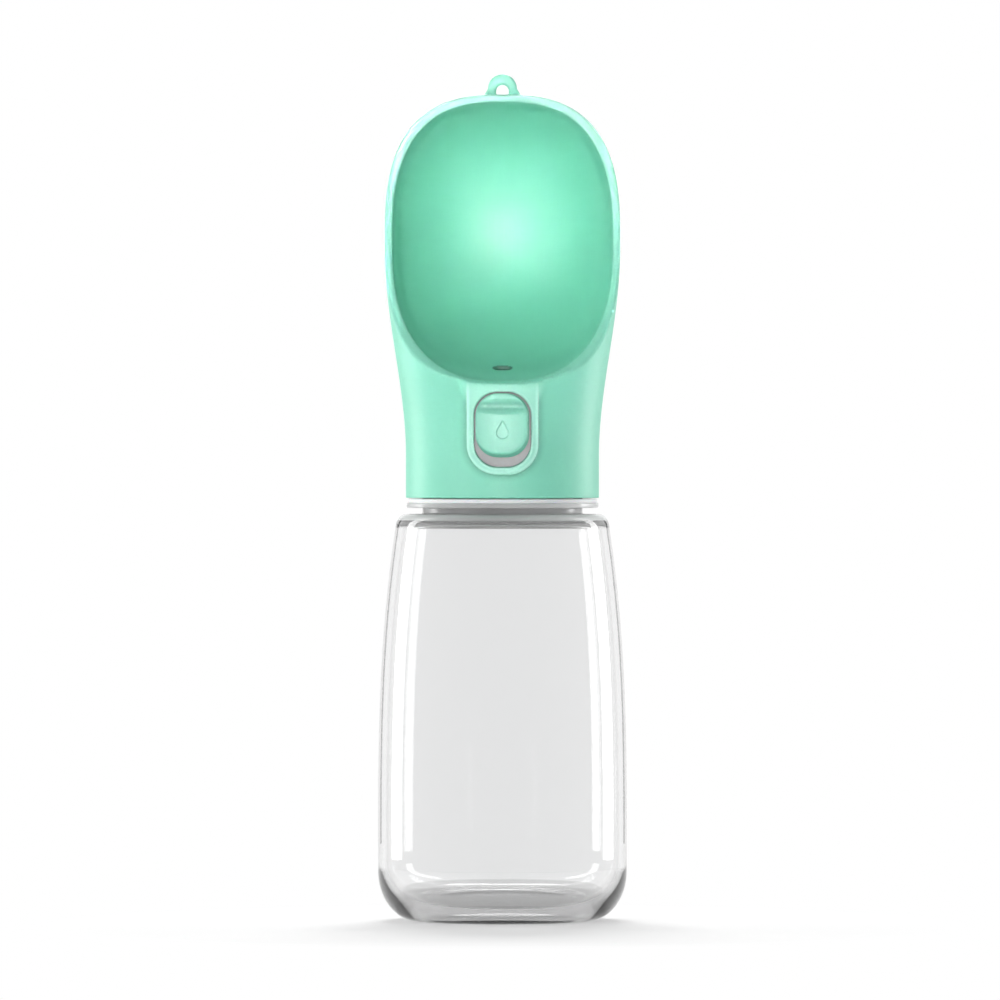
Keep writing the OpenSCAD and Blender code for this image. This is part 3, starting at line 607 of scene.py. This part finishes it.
def clear_plastic(name, face_on=0.872, edge_on=0.03):
    """Clear plastic with painted shade where it is seen edge on, in place of the dark lines that a
    thick moulded wall shows, and a faintly lighter painted band just inside them.
    """
    material, tree, shader = node_material(name)
    weight = tree.nodes.new("ShaderNodeLayerWeight")
    weight.inputs["Blend"].default_value = 0.5
    ramp = tree.nodes.new("ShaderNodeValToRGB")
    stops = ramp.color_ramp.elements
    stops[0].position, stops[0].color = 0.0, (face_on - 0.002, face_on, face_on + 0.002, 1)
    stops[1].position, stops[1].color = 1.0, (edge_on, edge_on, edge_on, 1)
    # A faintly lighter painted band, then painted shade deepening towards the edge-on view
    for position, level in ((0.7, face_on * 1.05), (0.93, face_on * 0.81)):
        stop = stops.new(position)
        stop.color = (level, level, level, 1)
    tree.links.new(weight.outputs["Facing"], ramp.inputs["Fac"])
    tree.links.new(ramp.outputs["Color"], shader.inputs["Base Color"])
    shader.inputs["Transmission Weight"].default_value = 1.0
    shader.inputs["IOR"].default_value = 1.5
    tree.links.new(spread(tree, noise(tree, 30.0), 0.0, 0.012), shader.inputs["Roughness"])
    add_bump(tree, shader, noise(tree, 25.0, 1.0), 0.02, 0.0002)
    return material


def neck_plastic(name):
    """The same plastic where it is moulded thick and faintly hazy, at the neck and flange."""
    material, tree, shader = node_material(name)
    colour_between(tree, shader, noise(tree, 60.0), linear(236, 237, 237), linear(244, 245, 245))
    tree.links.new(spread(tree, noise(tree, 200.0), 0.18, 0.26), shader.inputs["Roughness"])
    shader.inputs["Transmission Weight"].default_value = 0.2
    shader.inputs["IOR"].default_value = 1.5
    return material


# The head's mint, with a painted highlight colour for the frame and rim and a painted shade colour
# for the corner round the frame and the outlet slot
MINT = plastic(
    "mint_plastic_look", linear(118, 206, 177), linear(122, 209, 181), 0.46,
    zones=(("edge", linear(180, 240, 221)), ("painted_shade", linear(52, 112, 92))),
)
# The button's mint, with a painted shade colour for its sides
MINT_BUTTON = plastic(
    "mint_button_look", linear(118, 202, 175), linear(122, 205, 179), 0.36,
    zones=(("painted_shade", linear(70, 160, 134)),),
)
GREY = plastic("grey_plastic_look", linear(156, 154, 156), linear(163, 161, 162), 0.5)
WHITE = plastic("white_plastic_look", linear(228, 229, 226), linear(236, 237, 234), 0.42)
STEEL = metal("steel_look")
SOFT = silicone("silicone_look", linear(222, 224, 226), linear(232, 234, 236))
FROSTED = silicone("frosted_look", linear(231, 225, 228), linear(240, 235, 237))
CLEAR = clear_plastic("clear_plastic_look")

NODE_LOOKS = {
    "flange_gasket": FROSTED, "neck_seal": SOFT, "deck_seal": SOFT, "valve_plug": SOFT,
    "guide_gasket": SOFT, "plunger_seal": SOFT, "valve_deck": WHITE, "valve_cage": WHITE,
    "valve_stem": WHITE, "lever": WHITE, "plunger_guide": WHITE, "valve_screws": STEEL,
    "stem_clip": STEEL, "valve_spring": STEEL, "lever_pin": STEEL, "guide_screws": STEEL,
    "button_spring": STEEL, "button_carriage": GREY,
}
for node_name, look in NODE_LOOKS.items():
    for material_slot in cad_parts[node_name].material_slots:
        material_slot.material = look


# ---------------------------------------------------------------- springs, copied in steel in place of their nodes
# Name, the node it stands for, the body its far end rests on, its axis and which end is fixed
SPRINGS = (
    ("valve_coil", "valve_spring", "stem", 2, "low"),
    ("button_coil", "button_spring", "carriage", 1, "high"),
)
for name, node_name, far_body, axis, fixed in SPRINGS:
    coil = bpy.data.objects.new(name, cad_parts[node_name].data.copy())
    bpy.context.collection.objects.link(coil)
    coil.data.materials.clear()
    coil.data.materials.append(STEEL)
    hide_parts(node_name)
    low, high = (Vector(corner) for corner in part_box(node_name))
    start, end = (low + high) / 2, (low + high) / 2
    start[axis] = low[axis] if fixed == "low" else high[axis]
    end[axis] = high[axis] if fixed == "low" else low[axis]
    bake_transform(coil)


# ---------------------------------------------------------------- the head and the button
coarse = 1.0
fine_step, wide_step, button_step = 0.4 * coarse, 0.6 * coarse, 0.16 * coarse
# y starts at -31.33 because a grid line right on the collar's front would draw a crease there
head_axes = (
    spaced((-34.2, -12, wide_step), (-12, 12, fine_step), (12, 34.2, wide_step)),
    spaced((-31.33, -22, fine_step), (-22, 32, wide_step)),
    spaced((119.2, 157, fine_step), (157, 229, wide_step), (229, 241, fine_step)),
)
verts, faces = surface_of(head_field, head_axes)
mint_head = new_object("mint_head", verts, faces, MINT, "head", ["head_shell"])
# The head's painted highlight on the frame and rim, and its painted shade round the frame and in
# the slot, kept on its points
keep_values(mint_head, "edge", painted_highlight_values(*verts.T))
keep_values(mint_head, "painted_shade", painted_shade_values(*verts.T))

button_axes = (
    spaced((-8.2, 8.2, button_step)),
    spaced((-31.9, -26.4, button_step)),
    spaced((130.9, 150.1, button_step)),
)
verts, faces = surface_of(button_field, button_axes, reach=0.15)
button = new_object(
    "thumb_button", verts, faces, MINT_BUTTON, "cap", ["lock_button"]
)
# Painted shade on the button's sides, growing back from its face
keep_values(button, "painted_shade", SIDE_SHARE * ease((verts[:, 1] - FACE_Y - SIDE_START) / 0.5))


# ---------------------------------------------------------------- the bottle
def rounded(points, steps=6):
    """A line through (r, z, corner radius) points, with each corner turned into an arc."""
    out = []
    for i, (r, z, corner) in enumerate(points):
        here = np.array([r, z])
        if corner == 0 or i in (0, len(points) - 1):
            out.append(here)
            continue
        a = np.array(points[i - 1][:2]) - here
        b = np.array(points[i + 1][:2]) - here
        a, b = a / np.linalg.norm(a), b / np.linalg.norm(b)
        half = math.acos(np.clip(np.dot(a, b), -1, 1)) / 2
        centre = here + (a + b) / np.linalg.norm(a + b) * corner / math.sin(half)
        start, stop = here + a * corner / math.tan(half), here + b * corner / math.tan(half)
        t0 = math.atan2(*(start - centre)[::-1])
        t1 = math.atan2(*(stop - centre)[::-1])
        turn = (t1 - t0 + math.pi) % (2 * math.pi) - math.pi
        for k in range(steps + 1):
            t = t0 + turn * k / steps
            out.append(centre + corner * np.array([math.cos(t), math.sin(t)]))
    return out


def bottle_side(wall, low, high):
    """The bottle's side from base to shoulder, a wall's thickness inside its outer face."""
    shoulder_z = BOTTLE_H - SHOULDER_ROUND
    points = []
    for a in np.radians(np.arange(0, 90.1, 3)):
        r = BASE_FLAT_R - wall * 0.9 + (BOTTLE_R - BASE_FLAT_R - wall * 0.1) * math.sin(a)
        points.append((r, low + (BASE_ROUND - low * 0.5) * (1 - math.cos(a))))
    for z in np.linspace(BASE_ROUND + 3, shoulder_z, 60):
        bend = max(0, (z - BODY_LOW) / (shoulder_z - BODY_LOW)) ** BODY_CURVE
        points.append((BOTTLE_R - (BOTTLE_R - SHOULDER_R) * bend - wall, z))
    for a in np.radians(np.arange(6, 90.1, 6)):
        r = SHOULDER_R - SHOULDER_IN - wall + SHOULDER_IN * math.cos(a)
        points.append((r, shoulder_z + (high - shoulder_z) * math.sin(a)))
    return [np.array(p) for p in points]


def bottle_profile():
    """The bottle's outline from the axis under the base, over the top, to the inner floor."""
    punt_r = BASE_FLAT_R - PUNT_MARGIN
    floor = WALL + FLOOR_EXTRA
    punt_inner = (punt_r * 0.6, PUNT_RISE * 0.8)
    punt_outer = (punt_r * 0.9, 0.22)
    base = [np.array(p) for p in ((0, PUNT_RISE), punt_inner, punt_outer)]
    neck = rounded(
        [
            (NECK_R + 4, BOTTLE_H, 0),
            (NECK_R, BOTTLE_H, 0.5),
            (NECK_R, FLANGE_Z, 0.3),
            (FLANGE_R, FLANGE_Z, FLANGE_ROUND),
            (FLANGE_R, NECK_FOOT, FLANGE_ROUND),
            (NECK_R, NECK_FOOT, 0.0),
        ]
    )
    wall = [np.array((NECK_R, z)) for z in np.arange(NECK_FOOT + 0.2, NECK_TOP - 0.4, 0.2)]
    top = rounded(
        [
            (NECK_R, NECK_TOP - 0.5, 0),
            (NECK_R, NECK_TOP, LIP_ROUND),
            (NECK_BORE, NECK_TOP, LIP_ROUND),
            (NECK_BORE, BOTTLE_H - WALL, 0.8),
            (NECK_BORE + 3, BOTTLE_H - WALL, 0),
        ]
    )
    inner = bottle_side(WALL, floor, BOTTLE_H - WALL)[::-1]
    floor_line = [
        np.array((punt_r * 0.6, floor + PUNT_RISE * 0.5)),
        np.array((0, floor + PUNT_RISE)),
    ]
    return base + bottle_side(0, 0, BOTTLE_H) + neck + wall + top + inner + floor_line


def lathe(profile, sides, swell=None):
    """A closed solid of revolution whose line starts and ends on the axis."""
    angles = np.arange(sides) * 360 / sides
    line = np.array(profile)
    ring = line[1:-1]
    r = np.repeat(ring[:, :1], sides, 1)
    z = np.repeat(ring[:, 1:], sides, 1)
    if swell:
        r = r + swell(angles[None, :], r, z)
    turn = np.radians(angles)[None, :]
    verts = np.stack([r * np.cos(turn), r * np.sin(turn), z], 2).reshape(-1, 3)
    verts = np.vstack([verts, [[0, 0, line[0][1]], [0, 0, line[-1][1]]]])
    faces = []
    for i in range(len(ring) - 1):
        for k in range(sides):
            a, b = i * sides + k, i * sides + (k + 1) % sides
            faces.append((a, b, b + sides, a + sides))
    last = (len(ring) - 1) * sides
    for k in range(sides):
        faces.append((len(verts) - 2, (k + 1) % sides, k))
        faces.append((len(verts) - 1, last + k, last + (k + 1) % sides))
    return verts, faces


def neck_thread(angle, r, z):
    """How far the neck's three screw ridges stand out."""
    on_wall = (np.abs(r - NECK_R) < 0.01) & (z > NECK_FOOT + 0.1)
    return np.where(on_wall, DEPTH * ridge_height(angle, z, NECK_RIDGE_Z, 3), 0)


verts, faces = lathe(bottle_profile(), BOTTLE_SIDES, neck_thread)
bottle = new_object("clear_bottle", verts, faces, CLEAR, "bottle", ["bottle"])
bottle.data.materials.append(neck_plastic("neck_plastic_look"))
# Painted shade on the base's inner faces: the clear plastic tinted far darker there
bottle.data.materials.append(clear_plastic("base_painted_shade_look", 0.55, 0.02))
HAZY, PAINTED_SHADE_BASE = 1, 2
for polygon in bottle.data.polygons:
    z = polygon.center.z / MM
    inward = polygon.normal.xy.dot(polygon.center.xy) < 0 or polygon.normal.z > 0.5
    if z > BOTTLE_H + 0.05 or (inward and z > BOTTLE_H - WALL - HAZE_DEPTH):
        polygon.material_index = HAZY
    elif inward and z < PAINTED_SHADE_BELOW_Z:
        polygon.material_index = PAINTED_SHADE_BASE


# ---------------------------------------------------------------- floor, light and camera
# The share of plain white in the floor near the bottle, and where it grows to all of it
FLOOR_NEAR = 0.33
FLOOR_CENTRE = (0, -0.03, 0)
FLOOR_FADE = (0.05, 0.13)

# How bright the floor and the cards are, and the room as a lamp and as it is seen
FLOOR_GREY, CARD_GREY, ROOM_LIGHT, SEEN_LIGHT = 0.8, 0.02, 0.34, 1.0

# The dark cards behind the bottle: place, size and turn in degrees
CARD_PLACE, CARD_SIZE, CARD_TURN = (0.27, 0.5, 0.2), (0.06, 0.7), 28

# Name, place, aim, size, power and whether the lamp is kept off the bottle
LAMPS = (
    ("key", (-1.15, -0.5, 0.25), (0, 0, 0.15), (0.14, 1.1), 2.4, True),
    ("front", (-0.05, -1.75, 0.14), (0, 0, 0.18), (0.6, 0.6), 7.4, True),
    ("left", (-0.95, -1.0, 0.35), (0, 0, 0.15), (0.12, 0.9), 4.0, True),
    ("bowl_light", (0, -1.75, 0.19), (0, 0, 0.213), (0.12, 0.12), 0.036, True),
    ("strip_left", (-0.375, 0.175, 0.22), (0, 0, 0.14), (0.1, 0.5), 0.9, False),
    ("strip_right", (0.375, 0.175, 0.22), (0, 0, 0.14), (0.1, 0.5), 0.9, False),
    ("back", (0, 0.75, 0.95), (0, 0, 0.1), (0.6, 0.4), 13.0, False),
)
BOWL_LIGHT_SPREAD = 5  # degrees

# The camera: width of its view and distance in metres, height in degrees, aim and sensor
SCALE, DISTANCE, ELEVATION = 0.28385, 3.0, 0.4
AIM = (-0.0007, 0, 0.11936)
SENSOR = 36.0


def plain_plane(name, size, place, turn, material):
    half_x, half_y = size[0] / 2, size[1] / 2
    mesh = bpy.data.meshes.new(name)
    signs = ((-1, -1), (1, -1), (1, 1), (-1, 1))
    corners = [(half_x * i, half_y * j, 0) for i, j in signs]
    mesh.from_pydata(corners, [], [(0, 1, 2, 3)])
    mesh.materials.append(material)
    obj = bpy.data.objects.new(name, mesh)
    obj.location, obj.rotation_euler = place, turn
    bpy.context.collection.objects.link(obj)
    return obj


def seen_directly(tree):
    """1 for rays from the camera and for reflected or refracted rays, 0 for lighting."""
    path = tree.nodes.new("ShaderNodeLightPath")
    total = None
    for name in ("Is Camera Ray", "Is Glossy Ray", "Is Transmission Ray"):
        if total is None:
            total = path.outputs[name]
            continue
        most = tree.nodes.new("ShaderNodeMath")
        most.operation = "MAXIMUM"
        tree.links.new(total, most.inputs[0])
        tree.links.new(path.outputs[name], most.inputs[1])
        total = most.outputs[0]
    return total


def matt_material(name, level):
    material, tree, shader = node_material(name)
    shader.inputs["Base Color"].default_value = (level, level, level, 1)
    shader.inputs["Roughness"].default_value = 1.0
    shader.inputs["Specular IOR Level"].default_value = 0.0
    return material, tree, shader


def floor_material():
    """A pale floor that keeps the object's shadow and is seen as plain white away from it."""
    material, tree, shader = matt_material("floor_look", FLOOR_GREY)
    glow = tree.nodes.new("ShaderNodeEmission")
    place = tree.nodes.new("ShaderNodeNewGeometry")
    distance = tree.nodes.new("ShaderNodeVectorMath")
    distance.operation = "DISTANCE"
    distance.inputs[1].default_value = FLOOR_CENTRE
    tree.links.new(place.outputs["Position"], distance.inputs[0])
    fade = tree.nodes.new("ShaderNodeMapRange")
    fade.inputs["From Min"].default_value = FLOOR_FADE[0]
    fade.inputs["From Max"].default_value = FLOOR_FADE[1]
    fade.inputs["To Min"].default_value = FLOOR_NEAR
    fade.inputs["To Max"].default_value = 1.0
    tree.links.new(distance.outputs["Value"], fade.inputs["Value"])
    share = tree.nodes.new("ShaderNodeMath")
    share.operation = "MULTIPLY"
    tree.links.new(seen_directly(tree), share.inputs[0])
    tree.links.new(fade.outputs["Result"], share.inputs[1])
    mix = tree.nodes.new("ShaderNodeMixShader")
    tree.links.new(share.outputs[0], mix.inputs["Fac"])
    tree.links.new(shader.outputs[0], mix.inputs[1])
    tree.links.new(glow.outputs[0], mix.inputs[2])
    tree.links.new(mix.outputs[0], tree.nodes["Material Output"].inputs["Surface"])
    return material


def set_world():
    """A soft light from all round, and a white that the camera and reflections see."""
    world = bpy.data.worlds.new("studio")
    bpy.context.scene.world = world
    world.use_nodes = True
    tree = world.node_tree
    tree.nodes.clear()
    out = tree.nodes.new("ShaderNodeOutputWorld")
    mix = tree.nodes.new("ShaderNodeMixShader")
    room = tree.nodes.new("ShaderNodeBackground")
    room.inputs["Color"].default_value = (1, 1, 1, 1)
    room.inputs["Strength"].default_value = ROOM_LIGHT
    seen = tree.nodes.new("ShaderNodeBackground")
    seen.inputs["Color"].default_value = (1, 1, 1, 1)
    seen.inputs["Strength"].default_value = SEEN_LIGHT
    tree.links.new(seen_directly(tree), mix.inputs["Fac"])
    tree.links.new(room.outputs[0], mix.inputs[1])
    tree.links.new(seen.outputs[0], mix.inputs[2])
    tree.links.new(mix.outputs[0], out.inputs["Surface"])


def softbox(name, place, aim, size, power):
    light = bpy.data.lights.new(name, "AREA")
    light.shape = "RECTANGLE"
    light.size, light.size_y = size
    light.energy = power
    obj = bpy.data.objects.new(name, light)
    obj.location = place
    obj.rotation_euler = (Vector(aim) - Vector(place)).to_track_quat("-Z", "Y").to_euler()
    bpy.context.collection.objects.link(obj)
    return obj


def leave_out(lamp, obj):
    """Keeps a lamp's light off one object."""
    group = bpy.data.collections.new(f"{lamp.name}_leaves_out")
    group.objects.link(obj)
    group.collection_objects[0].light_linking.link_state = "EXCLUDE"
    lamp.light_linking.receiver_collection = group


set_world()
plain_plane("floor", (6, 6), (0, 0, 0), (0, 0, 0), floor_material())
CARD = matt_material("card_look", CARD_GREY)[0]
for side, name in ((-1, "left"), (1, "right")):
    place = (side * CARD_PLACE[0], CARD_PLACE[1], CARD_PLACE[2])
    turn = (math.radians(90), 0, math.radians(-CARD_TURN * side))
    card = plain_plane(f"card_{name}", CARD_SIZE, place, turn, CARD)
    card.visible_camera = False
    card.visible_diffuse = False
    card.visible_shadow = False
    card.visible_transmission = False

lamps = {}
for name, place, aim, size, power, off_bottle in LAMPS:
    lamps[name] = softbox(name, place, aim, size, power)
    if off_bottle:
        leave_out(lamps[name], bottle)
lamps["bowl_light"].data.spread = math.radians(BOWL_LIGHT_SPREAD)

camera_data = bpy.data.cameras.new("camera")
camera_data.sensor_width = SENSOR
camera_data.lens = SENSOR * DISTANCE / SCALE
camera = bpy.data.objects.new("camera", camera_data)
bpy.context.collection.objects.link(camera)
aim = Vector(AIM)
tilt = math.radians(ELEVATION)
camera.location = aim + Vector((0, -math.cos(tilt), math.sin(tilt))) * DISTANCE
camera.rotation_euler = (aim - camera.location).to_track_quat("-Z", "Y").to_euler()
bpy.context.scene.camera = camera
bpy.context.scene.view_settings.view_transform = "Standard"
